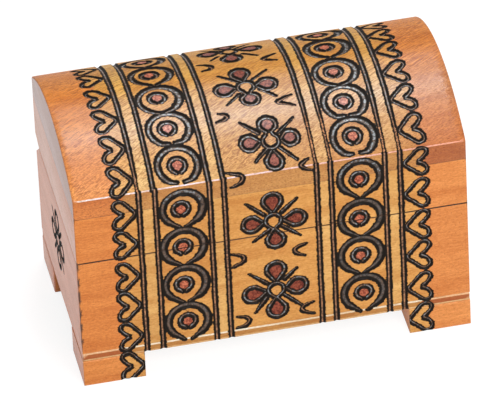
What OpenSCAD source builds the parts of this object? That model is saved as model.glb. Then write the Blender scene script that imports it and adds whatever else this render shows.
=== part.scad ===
// Small wooden trinket chest with a shallow arched lid.
// Four glued boards stand on a floor board with a block foot under each corner.
// The lid is a second frame of four boards under one plank that is flat below and arched above.
// A V groove along the back lets the lid swing open on two small brass hinges inside it.
// Lines, rings, hearts and flowers are carved on the front, over the arch and on the base's ends.
// Millimetres. +Z is up, the front faces -Y and the origin is the middle of the feet's underside.

/* [Chest] */
// Length of the chest over its two ends
chest_l = 160; // [130:1:240]
// Depth of the chest from front to back
chest_d = 88; // [70:1:130]
// Height of the line where the lid parts from the base
parting_h = 61.5; // [45:0.5:90]
// Gap between lid and base when the lid is shut
parting_gap = 0.3; // [0.1:0.05:0.6]
// Thickness of the boards of the base and of the lid's frame
board_t = 8; // [7:0.5:12]
// Width of front and back board that laps over the end boards
corner_lap = 3; // [2:0.5:5]

/* [Foot and floor] */
// Height of the block feet
foot_h = 12.2; // [8:0.2:20]
// Length of a foot along the front
foot_l = 25.4; // [18:0.2:36]
// Width of a foot along the end
foot_w = 24.2; // [18:0.2:32]
// Thickness of the floor board
floor_t = 4; // [3:0.5:7]
// How far the floor board's edge lies behind the faces above and below it
floor_inset = 0.2; // [0:0.1:1]

/* [Lid] */
// Height of the lid's frame, from the parting line to the plank
lid_frame_h = 22; // [16:0.5:36]
// Thickness of the top plank along its front and back edges
plank_edge_t = 9; // [5:0.5:14]
// Rise of the top plank's arch above those edges
arch_rise = 13.5; // [8:0.5:24]

/* [Back groove] */
// Width of the flat strip between the groove's tip and the inside of the boards
groove_land = 0.8; // [0.5:0.1:1.5]
// Height of the bevel on the lid, at the back face
lid_bevel = 3.5; // [2.5:0.1:5]
// Height of the bevel on the base, at the back face
base_bevel = 6.3; // [4:0.1:8]

/* [Hinges] */
// Distance from an end of the chest to the middle of the hinge nearest to it
hinge_end_w = 35; // [22:1:45]
// Length of a hinge
hinge_l = 22; // [18:0.5:28]
// Length of the middle knuckle, which turns with the lid
lid_knuckle_l = 8; // [5:0.5:11]
// Height of a leaf above or below the hinge line
leaf_h = 9; // [7.5:0.5:12]
// Thickness of a leaf
leaf_t = 0.8; // [0.6:0.1:1.2]
// Radius of the hinge pin
pin_r = 0.6; // [0.4:0.05:0.8]
// Radius of the pin's two peened ends
pin_end_r = 0.95; // [0.9:0.05:1.2]
// Thickness of the pin's two peened ends
pin_end_t = 0.4; // [0.2:0.1:0.8]
// Radial clearance between the pin and the lid's knuckle
pin_clearance = 0.05; // [0.02:0.01:0.09]
// Radial clearance between the pin and the base's knuckles, which grip it
pin_seat_clearance = 0.01; // [0.01:0.01:0.03]
// Gap between knuckles that lie side by side, and past the ends of the barrel
knuckle_gap = 0.2; // [0.1:0.05:0.4]
// Clearance between the barrel and the wood or leaf that passes round it
barrel_clearance = 0.25; // [0.15:0.05:0.5]

/* [Hinge nails] */
// Number of nails in a leaf
nail_count = 3; // [2:1:3]
// Radius of a nail's shank
nail_r = 0.5; // [0.35:0.05:0.6]
// Radius of a nail's head
nail_head_r = 1.1; // [0.9:0.05:1.4]
// Height of a nail's domed head
nail_head_h = 0.5; // [0.3:0.05:0.8]
// Length of a nail's shank below its head
nail_l = 4.6; // [3.5:0.1:5.5]
// Distance from a leaf's end to its first nail
nail_edge = 3.2; // [2.5:0.1:4.5]
// Radial clearance round a nail in its leaf and its board
nail_clearance = 0.03; // [0.02:0.01:0.08]

/* [Carving] */
// Depth of the carving
carve_depth = 0.65; // [0.4:0.05:1]
// Width of a straight carved line
line_w = 1.9; // [1.4:0.1:2.4]
// Width of the cut round a large ring
ring_cut_w = 2.9; // [2.2:0.1:3.2]
// Width of the cut round a small ring, a petal or a flower's core
fine_cut_w = 2.1; // [1.4:0.1:2.4]
// Distance from an end of the chest to the middle of the rings nearest to it
ring_end_w = 44; // [42:1:52]
// Distance between the two lines beside the rings
ring_lane_w = 22; // [21.5:0.5:26]
// Distance between the two lines of a strip
strip_w = 6; // [4:0.5:8]
// Radius of a large ring, to the middle of its cut
ring_r = 8.2; // [7:0.1:8.6]
// Radius of a small ring, to the middle of its cut
small_ring_r = 3.1; // [2.6:0.1:3.6]
// Height of the lowest rings
first_ring_z = 24.6; // [22:0.2:30]
// Distance between rings up the front
front_ring_pitch = 18.9; // [18:0.1:22]
// Distance along the arch from its front edge to the first rings
first_arch_ring = 8.9; // [8:0.1:12]
// Distance between rings along the arch
arch_ring_pitch = 18.2; // [17.8:0.1:22]
// Distance from an end of the chest to the hearts nearest to it
heart_end_w = 20; // [16:0.5:24]
// Distance from a flower's middle to the middle of a petal
petal_reach = 9.6; // [9:0.1:11]
// Radius of a petal, to the middle of its cut
petal_r = 3.65; // [3:0.05:4]
// Radius of a flower's core, to the middle of its cut
core_r = 3.2; // [2.6:0.1:3.4]
// Height of the lowest flower
first_flower_z = 33.1; // [31:0.1:36]
// Distance between flowers up the front
front_flower_pitch = 34.6; // [30:0.1:40]
// Height of the flower on each end of the base
end_flower_z = 41; // [32:1:44]
// Distance of that flower from the front
end_flower_y = 45; // [30:1:60]

/* [Hidden] */

// Heights of the seams, from the ground up
floor_top_z = foot_h + floor_t;
base_top_z = parting_h - parting_gap / 2;
lid_bottom_z = parting_h + parting_gap / 2;
plank_bottom_z = parting_h + lid_frame_h;
ridge_z = plank_bottom_z + plank_edge_t;
top_z = ridge_z + arch_rise;

// Faces of the chest
half_l = chest_l / 2;
half_d = chest_d / 2;
inner_y = half_d - board_t;

// The arch is part of a cylinder whose axis runs along the chest
arch_r = (half_d * half_d + arch_rise * arch_rise) / (2 * arch_rise);

// The hinge line runs along the groove's tip
hinge_y = inner_y + groove_land;
hinge_z = parting_h;
knuckle_r = groove_land + leaf_t;
barrel_room_r = knuckle_r + barrel_clearance;
barrel_room_l = hinge_l + 2 * (pin_end_t + knuckle_gap);
hinge_x = half_l - hinge_end_w;

// Nails stand in a row midway between the barrel and the leaf's edge
nail_drop = (knuckle_r + leaf_h) / 2;
nail_span = hinge_l - 2 * nail_edge;
nail_xs = [for (i = [0:nail_count - 1]) nail_span * (i / (nail_count - 1) - 0.5)];
nail_head_ball_r = (nail_head_r * nail_head_r + nail_head_h * nail_head_h) / (2 * nail_head_h);

// Cutters reach this far past the faces that they cut
over = 1;
$fn = 64;
arch_fn = 360;

arch_axis_z = top_z - arch_r;
arch_half_angle = asin(half_d / arch_r);
arch_l = 2 * arch_r * arch_half_angle * PI / 180;

// Distances of the carving from the middle of the chest
ring_x = half_l - ring_end_w;
line_xs = [
    ring_x - ring_lane_w / 2 - strip_w,
    ring_x - ring_lane_w / 2,
    ring_x + ring_lane_w / 2,
    ring_x + ring_lane_w / 2 + strip_w
];
heart_x = half_l - heart_end_w;

// Heights on the front, and distances along the arch from its front edge
front_ring_zs = [for (z = [first_ring_z:front_ring_pitch:ridge_z - ring_r]) z];
arch_ring_us = [for (u = [first_arch_ring:arch_ring_pitch:arch_l - ring_r]) u];
front_flower_zs = [for (z = [first_flower_z:front_flower_pitch:ridge_z - petal_reach]) z];
arch_flower_us = [for (share = [0.155, 0.465, 0.82]) share * arch_l];

// Each column of hearts: its side, its first place and the distance between its hearts
front_heart_columns = [[-1, 6, 15.2], [1, 6.9, 15.5]];
arch_heart_columns = [[-1, 5.6, 15.2], [1, 8.8, 14.6]];

// Half of a heart's outer and inner outline, from its notch round one lobe to its tip
heart_outside = [[-1.7, 0], [-4.8, 3.8], [-3.6, 7.4], [0, 7.4], [5.7, 0]];
heart_inside = [[0.3, 0], [-2.8, 4.2], [-2.2, 5.7], [-0.8, 5.7], [3.6, 0]];
heart_half_h = 7.4;

// One ray between two petals, along +X from the flower's middle
ray = [[5.3, -0.95], [14.4, -0.5], [14.4, 0.5], [5.3, 0.95]];

foot_color = [0.86, 0.55, 0.32];
board_color = [0.87, 0.62, 0.35];
end_color = [0.83, 0.60, 0.44];
floor_color = [0.72, 0.42, 0.24];
plank_color = [0.85, 0.57, 0.32];
leaf_color = [0.82, 0.68, 0.34];
pin_color = [0.74, 0.60, 0.30];
nail_color = [0.80, 0.66, 0.36];

// Places its children on the hinge line, in the middle of one hinge
module at_hinge(side) {
    translate([side * hinge_x, hinge_y, hinge_z]) children();
}

// Cylinder along X, centred where it is placed
module along_x(r, h) {
    rotate([0, 90, 0]) cylinder(r = r, h = h, center = true);
}

// Groove along the back, with its tip on the hinge line
module back_groove() {
    rotate([90, 0, 90])
        linear_extrude(height = chest_l + 2 * over, center = true)
            polygon([
                [hinge_y, base_top_z],
                [hinge_y, lid_bottom_z],
                [half_d, hinge_z + lid_bevel],
                [half_d + over, hinge_z + lid_bevel],
                [half_d + over, hinge_z - base_bevel],
                [half_d, hinge_z - base_bevel]
            ]);
}

// Room for both barrels, cut into the wood on either side of the parting line
module barrel_rooms() {
    for (side = [-1, 1])
        at_hinge(side) along_x(barrel_room_r, barrel_room_l);
}

// Holes for the nails of both hinges. Up is 1 for the lid's leaves and -1 for the base's.
module nail_holes(up) {
    for (side = [-1, 1], x = nail_xs)
        translate([side * hinge_x + x, inner_y - leaf_t - over, hinge_z + up * nail_drop])
            rotate([-90, 0, 0])
                cylinder(r = nail_r + nail_clearance, h = nail_l + nail_clearance + over);
}

// A closed outline from half of it, mirrored across the X axis
function both_halves(points) = concat(
    points,
    [for (i = [len(points) - 2:-1:1]) [points[i][0], -points[i][1]]]
);

// Cutters for the carving work down to the given depth below the face at z = 0.
module outline_cut(points, depth, past = 0) {
    translate([0, 0, -depth - past])
        linear_extrude(height = depth + over + 2 * past) polygon(points);
}

module ring_cut(r, w, depth) {
    difference() {
        translate([0, 0, -depth]) cylinder(r = r + w / 2, h = depth + over);
        translate([0, 0, -depth - over]) cylinder(r = r - w / 2, h = depth + 3 * over);
    }
}

module double_ring_cut(depth) {
    ring_cut(ring_r, ring_cut_w, depth);
    ring_cut(small_ring_r, fine_cut_w, depth);
}

// Heart that points to the middle of the chest
module heart_cut(side, depth) {
    rotate([0, 0, side > 0 ? 180 : 0])
        difference() {
            outline_cut(both_halves(heart_outside), depth);
            outline_cut(both_halves(heart_inside), depth, over);
        }
}

// Flower with four petals round a core, and a ray between petals
module flower_cut(depth) {
    ring_cut(core_r, fine_cut_w, depth);
    for (turn = [0:90:270]) {
        rotate([0, 0, turn]) translate([petal_reach, 0, 0]) ring_cut(petal_r, fine_cut_w, depth);
        rotate([0, 0, turn + 45]) outline_cut(ray, depth);
    }
}

// Places its children on the front at height z. Their +Z points out and their +Y up.
module on_front(x, z) {
    translate([x, -half_d, z]) rotate([90, 0, 0]) children();
}

// Places its children on the arch, u from its front edge. Their +Z points out and their +Y back.
module on_arch(x, u) {
    translate([x, 0, arch_axis_z])
        rotate([arch_half_angle - u / arch_r * 180 / PI, 0, 0])
            translate([0, 0, arch_r]) children();
}

module front_carving() {
    for (side = [-1, 1]) {
        for (x = line_xs)
            translate([side * x - line_w / 2, -half_d - over, foot_h - over])
                cube([line_w, over + carve_depth, ridge_z - foot_h + 2 * over]);
        for (z = front_ring_zs) on_front(side * ring_x, z) double_ring_cut(carve_depth);
    }
    for (column = front_heart_columns, z = [column[1]:column[2]:ridge_z - heart_half_h])
        on_front(column[0] * heart_x, z) heart_cut(column[0], carve_depth);
    for (z = front_flower_zs) on_front(0, z) flower_cut(carve_depth);
}

// Skin of the arch, as deep as the carving
module arch_skin() {
    translate([0, 0, arch_axis_z])
        rotate([0, 90, 0])
            difference() {
                cylinder(r = arch_r + over, h = chest_l + 2 * over, center = true, $fn = arch_fn);
                cylinder(r = arch_r - carve_depth, h = chest_l + 4 * over, center = true, $fn = arch_fn);
            }
}

// The cutters go deeper than the skin, which bends away under them
module arch_carving() {
    reach = carve_depth + 2 * over;
    intersection() {
        arch_skin();
        union() {
            for (side = [-1, 1]) {
                for (x = line_xs)
                    translate([side * x - line_w / 2, -half_d - over, ridge_z - reach])
                        cube([line_w, chest_d + 2 * over, arch_rise + reach + over]);
                for (u = arch_ring_us) on_arch(side * ring_x, u) double_ring_cut(reach);
            }
            for (column = arch_heart_columns, u = [column[1]:column[2]:arch_l - heart_half_h])
                on_arch(column[0] * heart_x, u) heart_cut(column[0], reach);
            for (u = arch_flower_us) on_arch(0, u) flower_cut(reach);
        }
    }
}

// Flower on an end of the base
module end_carving(side) {
    translate([side * half_l, end_flower_y - half_d, end_flower_z])
        rotate([0, side * 90, 0]) flower_cut(carve_depth);
}

module foot_block(side, back) {
    translate([
        side < 0 ? -half_l : half_l - foot_l,
        back < 0 ? -half_d : half_d - foot_w,
        0
    ])
        cube([foot_l, foot_w, foot_h]);
}

// Block foot. Its outer faces are flush with the chest's.
module foot(side, back) {
    color(foot_color)
        if (back < 0)
            difference() {
                foot_block(side, back);
                front_carving();
            }
        else
            foot_block(side, back);
}

module floor_board() {
    color(floor_color)
        difference() {
            translate([-half_l + floor_inset, -half_d + floor_inset, foot_h])
                cube([chest_l - 2 * floor_inset, chest_d - 2 * floor_inset, floor_t]);
            front_carving();
        }
}

// Board along the front, from z0 to z1, with a rebate at each end that takes an end board
module long_board(z0, z1) {
    difference() {
        translate([-half_l, -half_d, z0]) cube([chest_l, board_t, z1 - z0]);
        for (side = [-1, 1])
            translate([
                side < 0 ? -half_l - over : half_l - board_t,
                -half_d + corner_lap,
                z0 - over
            ])
                cube([board_t + over, board_t, z1 - z0 + 2 * over]);
    }
}

// Board across one end, from z0 to z1, between the laps of the front and back boards
module end_board(side, z0, z1) {
    difference() {
        translate([side < 0 ? -half_l : half_l - board_t, -half_d + corner_lap, z0])
            cube([board_t, chest_d - 2 * corner_lap, z1 - z0]);
        back_groove();
    }
}

module base_front_board() {
    color(board_color)
        difference() {
            long_board(floor_top_z, base_top_z);
            front_carving();
        }
}

module base_back_board() {
    color(board_color)
        difference() {
            mirror([0, 1, 0]) long_board(floor_top_z, base_top_z);
            back_groove();
            barrel_rooms();
            nail_holes(-1);
        }
}

module base_end(side) {
    color(end_color)
        difference() {
            end_board(side, floor_top_z, base_top_z);
            end_carving(side);
        }
}

module lid_front_rail() {
    color(board_color)
        difference() {
            long_board(lid_bottom_z, plank_bottom_z);
            front_carving();
        }
}

module lid_back_rail() {
    color(board_color)
        difference() {
            mirror([0, 1, 0]) long_board(lid_bottom_z, plank_bottom_z);
            back_groove();
            barrel_rooms();
            nail_holes(1);
        }
}

module lid_end(side) {
    color(end_color) end_board(side, lid_bottom_z, plank_bottom_z);
}

// Plank that is flat below, with square edges and an arched top
module plank_blank() {
    intersection() {
        translate([-half_l, -half_d, plank_bottom_z])
            cube([chest_l, chest_d, plank_edge_t + arch_rise + over]);
        translate([0, 0, arch_axis_z])
            rotate([0, 90, 0])
                cylinder(r = arch_r, h = chest_l + 2 * over, center = true, $fn = arch_fn);
    }
}

module lid_top_plank() {
    color(plank_color)
        difference() {
            plank_blank();
            front_carving();
            arch_carving();
        }
}

// Plate of a leaf, from height z0 to z1 off the hinge line, and x_len long
module leaf_plate(x_len, z0, z1) {
    translate([-x_len / 2, inner_y - leaf_t - hinge_y, z0]) cube([x_len, leaf_t, z1 - z0]);
}

// Leaf on the base, which holds the two outer knuckles
module hinge_base_leaf(side) {
    knuckle_l = (hinge_l - lid_knuckle_l) / 2 - knuckle_gap;
    color(leaf_color)
        difference() {
            at_hinge(side) {
                leaf_plate(hinge_l, -leaf_h, -barrel_room_r);
                for (end = [-1, 1])
                    translate([end * (hinge_l - knuckle_l) / 2, 0, 0]) {
                        leaf_plate(knuckle_l, -barrel_room_r, 0);
                        along_x(knuckle_r, knuckle_l);
                    }
            }
            at_hinge(side) along_x(pin_r + pin_seat_clearance, hinge_l + 2 * over);
            nail_holes(-1);
        }
}

// Leaf on the lid, which holds the middle knuckle
module hinge_lid_leaf(side) {
    color(leaf_color)
        difference() {
            at_hinge(side) {
                leaf_plate(hinge_l, barrel_room_r, leaf_h);
                leaf_plate(lid_knuckle_l, 0, barrel_room_r);
                along_x(knuckle_r, lid_knuckle_l);
            }
            at_hinge(side) along_x(pin_r + pin_clearance, hinge_l);
            nail_holes(1);
        }
}

// Pin through the three knuckles, peened over at both ends
module hinge_pin(side) {
    color(pin_color)
        at_hinge(side) {
            along_x(pin_r, hinge_l + 2 * pin_end_t);
            for (end = [-1, 1])
                translate([end * (hinge_l + pin_end_t) / 2, 0, 0]) along_x(pin_end_r, pin_end_t);
        }
}

// Nail that points along +Y, with the underside of its domed head at the origin
module hinge_nail() {
    rotate([-90, 0, 0]) {
        cylinder(r = nail_r, h = nail_l);
        intersection() {
            translate([0, 0, nail_head_ball_r - nail_head_h]) sphere(r = nail_head_ball_r);
            translate([0, 0, -nail_head_h]) cylinder(r = nail_head_r, h = nail_head_h);
        }
    }
}

// Nails of both hinges. Up is 1 for the lid's leaves and -1 for the base's.
module hinge_nails(up) {
    color(nail_color)
        for (side = [-1, 1], x = nail_xs)
            translate([side * hinge_x + x, inner_y - leaf_t, hinge_z + up * nail_drop])
                hinge_nail();
}

foot(-1, -1);  // foot_front_left
foot(1, -1);  // foot_front_right
foot(-1, 1);  // foot_back_left
foot(1, 1);  // foot_back_right
floor_board();
base_front_board();
base_back_board();
base_end(-1);  // base_left_end
base_end(1);  // base_right_end
lid_front_rail();
lid_back_rail();
lid_end(-1);  // lid_left_end
lid_end(1);  // lid_right_end
lid_top_plank();
hinge_base_leaf(-1);  // left_hinge_base_leaf
hinge_lid_leaf(-1);  // left_hinge_lid_leaf
hinge_pin(-1);  // left_hinge_pin
hinge_base_leaf(1);  // right_hinge_base_leaf
hinge_lid_leaf(1);  // right_hinge_lid_leaf
hinge_pin(1);  // right_hinge_pin
hinge_nails(-1);  // base_hinge_nails
hinge_nails(1);  // lid_hinge_nails
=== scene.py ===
import math
from collections import namedtuple

import bmesh
import bpy
import numpy as np
from mathutils import Matrix, Vector
from mathutils.geometry import delaunay_2d_cdt


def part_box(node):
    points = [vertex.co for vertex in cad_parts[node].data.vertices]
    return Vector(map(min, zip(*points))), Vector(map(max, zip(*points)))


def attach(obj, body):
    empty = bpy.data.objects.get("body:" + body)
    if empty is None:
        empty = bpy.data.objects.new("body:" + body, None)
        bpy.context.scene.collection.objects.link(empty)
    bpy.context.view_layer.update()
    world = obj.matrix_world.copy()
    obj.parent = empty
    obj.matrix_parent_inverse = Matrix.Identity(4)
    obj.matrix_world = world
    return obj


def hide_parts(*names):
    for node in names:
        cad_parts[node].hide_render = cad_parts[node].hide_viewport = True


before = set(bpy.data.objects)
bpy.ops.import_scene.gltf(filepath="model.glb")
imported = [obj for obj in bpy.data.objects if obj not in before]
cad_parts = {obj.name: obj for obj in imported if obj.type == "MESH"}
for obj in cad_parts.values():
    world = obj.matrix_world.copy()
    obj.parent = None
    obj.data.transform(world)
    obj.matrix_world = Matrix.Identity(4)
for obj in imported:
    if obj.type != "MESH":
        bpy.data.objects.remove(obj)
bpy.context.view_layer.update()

# Shapes are worked out in millimetres and turned into metres when a mesh is made.
MM = 0.001
# Places closer than this count as the same
HAIR = 0.01
TINY = 1e-6

# Places on the carved skin are (x, s): x from the chest's left end, and s from the ground up the front
# and on over the arch.


# Sizes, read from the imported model

def box_mm(node):
    low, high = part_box(node)
    return np.array(low) / MM, np.array(high) / MM


def points_mm(node):
    return np.array([v.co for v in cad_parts[node].data.vertices]) / MM


foot_high = box_mm("foot_front_left")[1]
floor_low, floor_high = box_mm("floor_board")
front_low, front_high = box_mm("base_front_board")
plank_low, plank_high = box_mm("lid_top_plank")

chest_l = plank_high[0] - plank_low[0]
half_l = chest_l / 2
half_d = plank_high[1]
board_t = front_high[1] - front_low[1]
corner_lap = box_mm("base_left_end")[0][1] - front_low[1]

plank_points = points_mm("lid_top_plank")
ridge_z = plank_points[plank_points[:, 1] < plank_low[1] + HAIR, 2].max()
arch_rise = plank_high[2] - ridge_z
arch_r = (half_d ** 2 + arch_rise ** 2) / (2 * arch_rise)
arch_half_angle = math.asin(half_d / arch_r)
back_ridge_s = ridge_z + 2 * arch_r * arch_half_angle
plank_back_s = back_ridge_s + ridge_z - plank_low[2]

# Grooves
WALL_W = 0.5
NARROW_WALL = 0.55
FLOOR_SAG = 0.22
WIDEST_SAG = 1.4
NO_FOOT_HALF_W = 0.4
REACH = 1.6
# A floor's colour starts this far down the wall, and floors paler than this tone look alike all over
FLOOR_FROM = 0.7
PALEST_TONE = 1.1

# Lattices of vertices: spacing, free margin as a share of it, and the distances outside a groove that
# each covers
FINE = 0.34
LATTICES = (
    (FINE, 0.5, -math.inf, 0.6),
    (1.0, 0.4, 0.9, REACH - HAIR),
    (2.8, 0.4, REACH - HAIR, math.inf),
)
# How near to an edge a vertex on it lies, and how much space edges keep free beside them
ON_EDGE = 1e-3
CLEARANCE = 0.05
MERGE = 1e-4
LEAST_TRIANGLE = 1e-7
# Least cosine between an edge and the way across a groove for the edge's points to move onto its side
LEAST_ACROSS = 0.35

# Roundings of the boards' arrises
ARRIS_R = 0.5
SEAM_R = 0.13
PARTING_R = 0.22
# Painted shade on the roundings beside the gaps between boards, as factors on the stain
PARTING_SHADE = 0.35
SEAM_SHADE = 0.6
# The painted shade in the lines between boards is darker beyond this distance from the chest's middle
DARK_SEAM_FROM = 50
DARK_SEAM_FADE = 12
DARK_SEAM_POWER = 2.4
RIDGE_R = 0.5
RIDGE_EDGE = 0.12
ROUNDING_STEPS = 4
ridge_turn = math.pi / 2 - arch_half_angle
ridge_reach = RIDGE_R * math.tan(ridge_turn / 2)
# Edges sharper than this are shaded as edges
SHARP = math.radians(32)


def add_object(name, data):
    made = bpy.data.objects.new(name, data)
    bpy.context.scene.collection.objects.link(made)
    return made


# Small seeded noises

def wobble(t, seed, wave):
    """Smooth noise from about -1 to 1 along t, with waves of about the given length."""
    random = np.random.default_rng(seed)
    total = np.zeros_like(np.asarray(t, float))
    for share in (1.0, 0.53, 0.29):
        phase = random.uniform(0, 2 * math.pi)
        total = total + share * np.sin(2 * math.pi * np.asarray(t) / (wave * share) + phase)
    return total / 1.5


# Strokes of the carving

# Noise in the strokes' widths, as a share
STROKE_UNEVEN = 0.05
strokes = []
dots = []
petals = []


def spline(points, step=0.6):
    """Points along a smooth curve through the given points."""
    p = np.array(points, float)
    p = np.vstack([2 * p[0] - p[1], p, 2 * p[-1] - p[-2]])
    curve = []
    for a, b, c, d in zip(p, p[1:], p[2:], p[3:]):
        count = max(2, int(np.linalg.norm((c - b)[:2]) / step))
        for t in np.arange(count) / count:
            bend = (2 * a - 5 * b + 4 * c - d) * t ** 2 + (3 * b - a - 3 * c + d) * t ** 3
            curve.append(b + 0.5 * ((c - a) * t + bend))
    return np.array(curve + [p[-2]])


def cut(points, half_width, tone, end_half_width=None, smooth=True):
    """Adds one stroke. Tone is the colour of its floor, from 0 for burnt to 1 for brown."""
    rows = np.column_stack([np.array(points, float), np.broadcast_to(half_width, len(points))])
    if end_half_width:
        rows[[0, -1], 2] = end_half_width
    if smooth:
        rows = spline(rows)
    along = np.append(0, np.cumsum(np.hypot(*np.diff(rows[:, :2], axis=0).T)))
    rows[:, 2] *= 1 + STROKE_UNEVEN * wobble(along, 300 + len(strokes), 4.1)
    strokes.append(np.column_stack([rows, np.broadcast_to(tone, len(rows))]))


def arc(cx, cs, radius, start, end, count=22):
    angles = np.radians(np.linspace(start, end, count))
    return [(cx + radius * math.cos(a), cs + radius * math.sin(a)) for a in angles]


# Line grooves: x on the front, where the arch starts, and this far over the arch
FAR_S = 66
LINES = {
    "A": (26.6, 26.35, 26.9),
    "B": (33.25, 32.6, 33.35),
    "C": (55.3, 55.05, 55.45),
    "D": (61.2, 60.9, 61.2),
    "E": (98.85, 98.8, 99.4),
    "F": (104.65, 104.75, 105.05),
    "G": (126.8, 126.85, 127.8),
    "H": (132.95, 132.95, 133.4),
}
LINE_HALF_W = 1.12
LINE_STEP = 1.5
# How far a line starts below the top of the feet, and how far it goes on past the back ridge
LINE_START = 2
LINE_PAST_RIDGE = 1
# Noise in the lines' widths, as a share, and in their places
LINE_UNEVEN = 0.04
LINE_SWAY = 0.07
# Lines that start shallow at the front ridge, and how far up the arch each stays so
SHALLOW_LINES = {"A": 3, "E": 16, "F": 16, "G": 8, "H": 6}
SHALLOW_FADE = 14
SHALLOW_NARROWER = 0.4
LINE_TONE = 1.0
ARCH_LINE_TONE = 0.4
SHALLOW_LINE_TONE = 1.3


def line_x(name, s):
    """Where a line groove runs at height s."""
    front, arch_start, arch_far = LINES[name]
    on_arch = arch_start + (arch_far - arch_start) * (s - ridge_z) / FAR_S
    return np.where(s < ridge_z, front, on_arch) + LINE_SWAY * wobble(s, 40 + ord(name), 31)


def carve_lines():
    for name in LINES:
        front = (foot_high[2] - LINE_START, ridge_z - HAIR)
        for start, end in (front, (ridge_z + HAIR, back_ridge_s + LINE_PAST_RIDGE)):
            s = np.append(np.arange(start, end, LINE_STEP), end)
            width = LINE_HALF_W * (1 + LINE_UNEVEN * wobble(s, ord(name), 9))
            tone = np.where(s < ridge_z, LINE_TONE, ARCH_LINE_TONE)
            if name in SHALLOW_LINES:
                past = s - ridge_z - SHALLOW_LINES[name]
                shallow = (s > ridge_z) * np.clip(1 - past / SHALLOW_FADE, 0, 1)
                width -= SHALLOW_NARROWER * shallow
                tone += (SHALLOW_LINE_TONE - ARCH_LINE_TONE) * shallow
            cut(np.column_stack([line_x(name, s), s]), width, tone, smooth=False)


# Large rings: x and s of the middle, radius, half-width at the left and at the right, how far the ends
# drop below the middle, then the small ring's x and s
RINGS = (
    (43.9, 24.5, 8.1, 1.6, 1.75, 9.15, 43.75, 24.6),
    (43.75, 43.3, 8.25, 1.45, 1.85, 9.15, 42.95, 43.2),
    (43.7, 62.0, 8.25, 1.7, 1.8, 9.00, 43.35, 62.1),
    (44.1, 80.9, 8.2, 1.5, 1.95, 9.15, 43.4, 80.9),
    (44.35, 101.5, 8.05, 1.5, 1.6, 7.55, 44.2, 101.4),
    (44.4, 119.1, 8.2, 1.45, 1.75, 7.4, 43.8, 119.3),
    (43.9, 136.5, 8.27, 1.3, 1.9, 8.3, 43.3, 137.3),
    (44.2, 155.5, 8.00, 1.3, 1.6, 8.6, 43.6, 155.7),
    (43.9, 174.0, 8.00, 1.3, 1.6, 8.3, 43.8, 173.8),
    (116.2, 24.7, 8.2, 1.6, 1.75, 9.15, 116.25, 24.75),
    (115.7, 43.8, 8.3, 1.6, 1.65, 9.15, 115.4, 43.75),
    (116.2, 62.3, 8.25, 1.6, 1.8, 9.1, 115.5, 62.2),
    (116.4, 82.3, 8.15, 1.6, 1.6, 9.5, 116.0, 81.7),
    (116.0, 101.8, 8.3, 1.5, 1.8, 7.4, 115.7, 102.15),
    (115.95, 119.0, 8.25, 1.5, 1.75, 7.1, 115.6, 119.0),
    (116.1, 136.4, 8.2, 1.4, 1.8, 8.1, 115.4, 136.5),
    (116.7, 155.8, 8.15, 1.5, 1.9, 8.6, 116.0, 156.2),
    (117.0, 174.0, 8.1, 1.4, 1.7, 8.3, 116.5, 173.5),
)
# Rings of each column whose two ends stand apart
OPEN_RINGS = (0, 4)
OPEN_RING_GAP = 0.5
# Degrees that the round parts of rings span, and where a large ring's two ends lie beside its middle
RING_SPAN = (-58, 238)
SMALL_RING_SPAN = (-68, 248)
RING_END_X = (0.9, -1.3)
RING_END_HALF_W = 0.9
RING_NECK_HALF_W = 1.2
SMALL_RING_R = 3.2
SMALL_RING_HALF_W = 1.12
# How far beside and below its middle a small ring ends
SMALL_RING_END = (0.85, 3.65)
SMALL_RING_END_HALF_W = 0.65
# Floor tones of the left and of the right column's large rings, and of the small rings
RING_TONES = (0.18, 0.1)
SMALL_RING_TONE = 0.3
DOT_R = 2.4


def carve_rings():
    first, last = RING_END_X
    beside, below = SMALL_RING_END
    for number, (x, s, radius, left_w, right_w, drop, small_x, small_s) in enumerate(RINGS):
        gap = OPEN_RING_GAP if number % (len(RINGS) // 2) in OPEN_RINGS else 0
        path = [(x + first + gap, s - drop)] + arc(x, s, radius, *RING_SPAN) + [(x + last - gap, s - drop)]
        lean = (np.array(path)[:, 0] - x) / radius
        width = (right_w + left_w) / 2 + (right_w - left_w) / 2 * lean
        width[[1, -2]] = RING_NECK_HALF_W
        cut(path, width, RING_TONES[0] if x < half_l else RING_TONES[1], RING_END_HALF_W)
        small = arc(small_x, small_s, SMALL_RING_R, *SMALL_RING_SPAN, 16)
        small = [(small_x + beside, small_s - below)] + small + [(small_x - beside, small_s - below)]
        cut(small, SMALL_RING_HALF_W, SMALL_RING_TONE, SMALL_RING_END_HALF_W)
        dots.append((small_x, small_s))


# A heart of the left column, from its notch round both lobes, as x and s from its middle
HEART = (
    (19.3, 0.5), (17.6, 2.1), (16.2, 4.2), (16.4, 6.0), (18.2, 6.9), (20.2, 6.2), (22.3, 3.6),
    (24.3, 1.1), (24.7, 0), (24.2, -1.4), (21.5, -4.2), (19.8, -6.0), (18.3, -6.7), (16.4, -5.8),
    (16.1, -3.8), (17.2, -1.8), (19.3, -0.4),
)
HEART_HALF_W = 0.92
HEART_NOTCH_HALF_W = 1.12
HEART_EDGE_X = 20.2
HEART_TONE = 0.35

# Hearts of each column: s of the middle, and how much of the full height each has
LEFT_HEARTS = (
    (6.0, 1), (21.1, 1), (36.4, 1), (51.35, 1), (67.4, 0.93), (82.3, 1), (98.1, 0.95), (113.1, 0.95),
    (128.3, 0.92), (143.2, 0.92), (159.8, 0.92), (174.5, 0.9),
)
RIGHT_HEARTS = (
    (7.2, 1), (22.8, 1), (38.9, 1), (54.2, 1), (70.1, 1), (85.7, 0.94), (101.3, 0.95), (116.25, 0.9),
    (130.6, 0.92), (145.6, 0.9), (159.8, 0.9), (174.5, 0.9),
)
# The right column's outer lobes reach further, from this x on
RIGHT_REACH = 0.5
RIGHT_REACH_FROM = 20
RIGHT_REACH_W = 4.7
heart_shapes = []


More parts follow.
